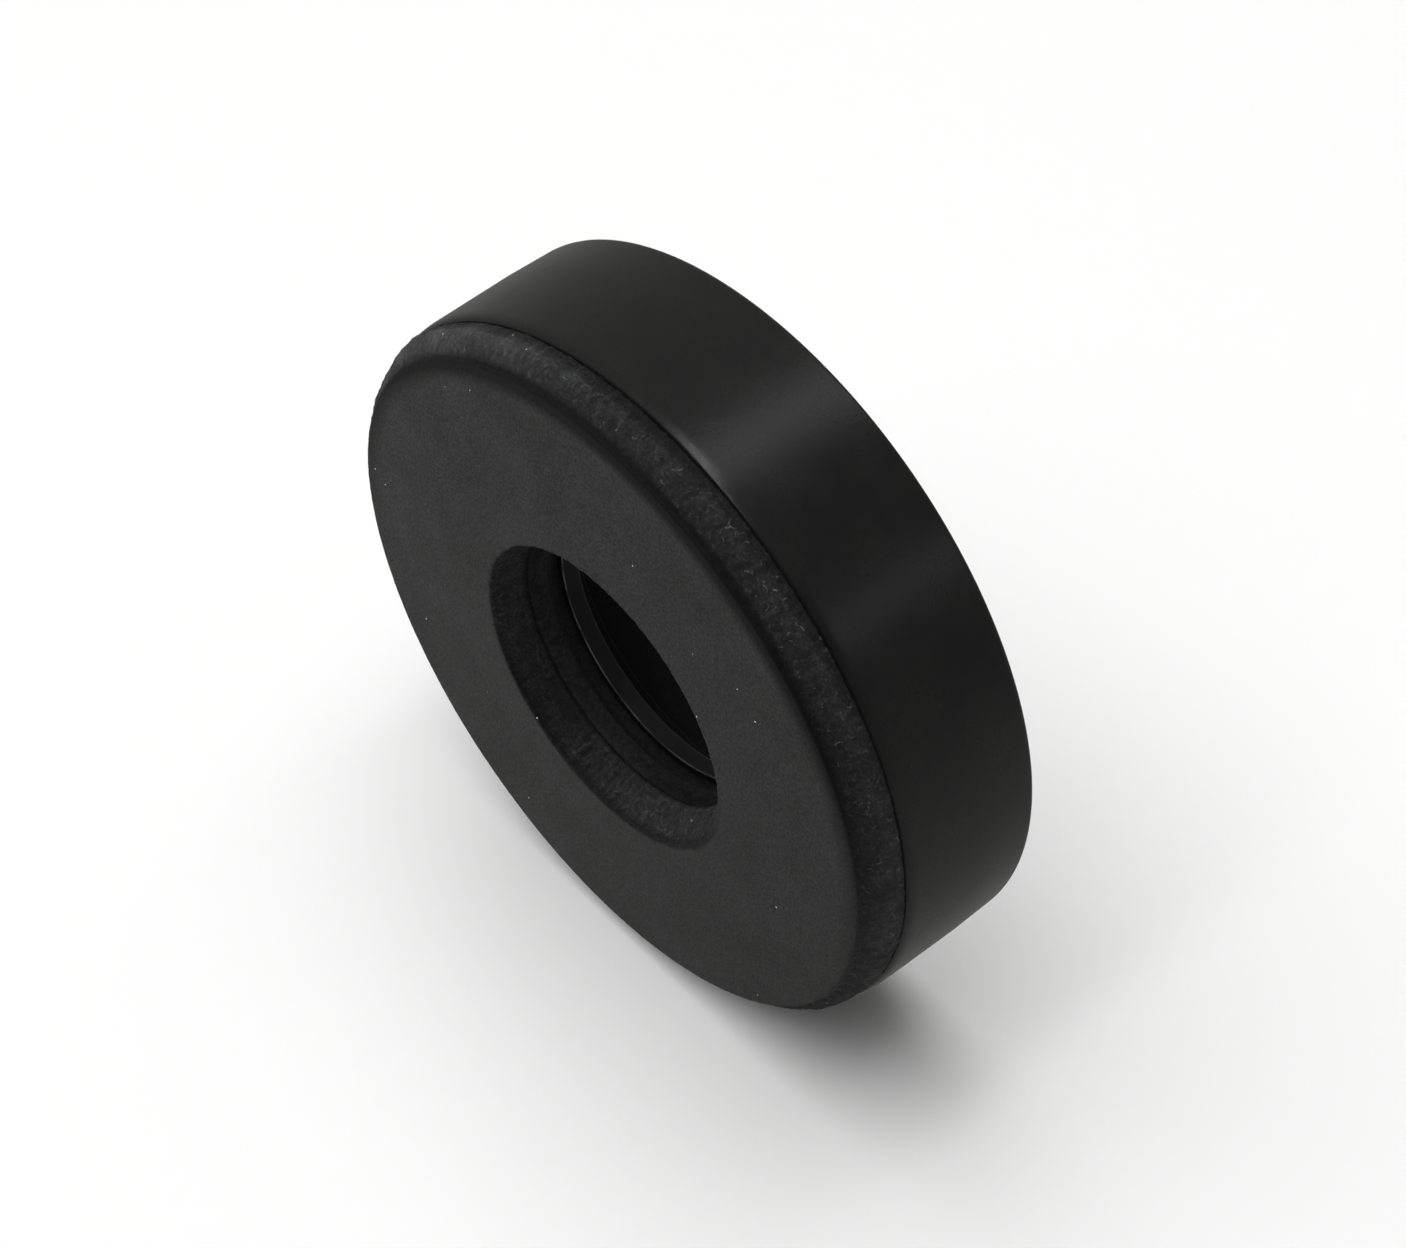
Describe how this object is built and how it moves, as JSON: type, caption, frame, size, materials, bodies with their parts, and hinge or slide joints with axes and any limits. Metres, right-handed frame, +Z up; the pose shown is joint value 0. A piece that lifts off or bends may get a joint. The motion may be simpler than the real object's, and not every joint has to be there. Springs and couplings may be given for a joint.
{
  "type": "fence insulator",
  "caption": "Round black insulating spacer for a fence fitting: a hard moulded ring with a rubber facing, and a bush and load washer in its stepped bore.",
  "frame": {"origin": "middle of the insulator's bounding box, on the bore's axis", "axes": "+Y along the bore from the rubber facing to the rear face, +Z up, +X to the right when looking at the facing"},
  "size_m": [0.035, 0.009, 0.035],
  "materials": {
    "body_plastic": "satin black moulding, soft highlights along the rim",
    "pad_rubber": "matt black-grey rubber, smooth face, rough cut edges",
    "bush_rubber": "matt black moulded rubber",
    "washer_plastic": "hard black washer with a sharp, slightly polished front edge"
  },
  "bodies": {
    "root": {"body_ring": "body_plastic", "front_pad": "pad_rubber", "bore_bush": "bush_rubber", "load_washer": "washer_plastic"}
  },
  "joints": []
}
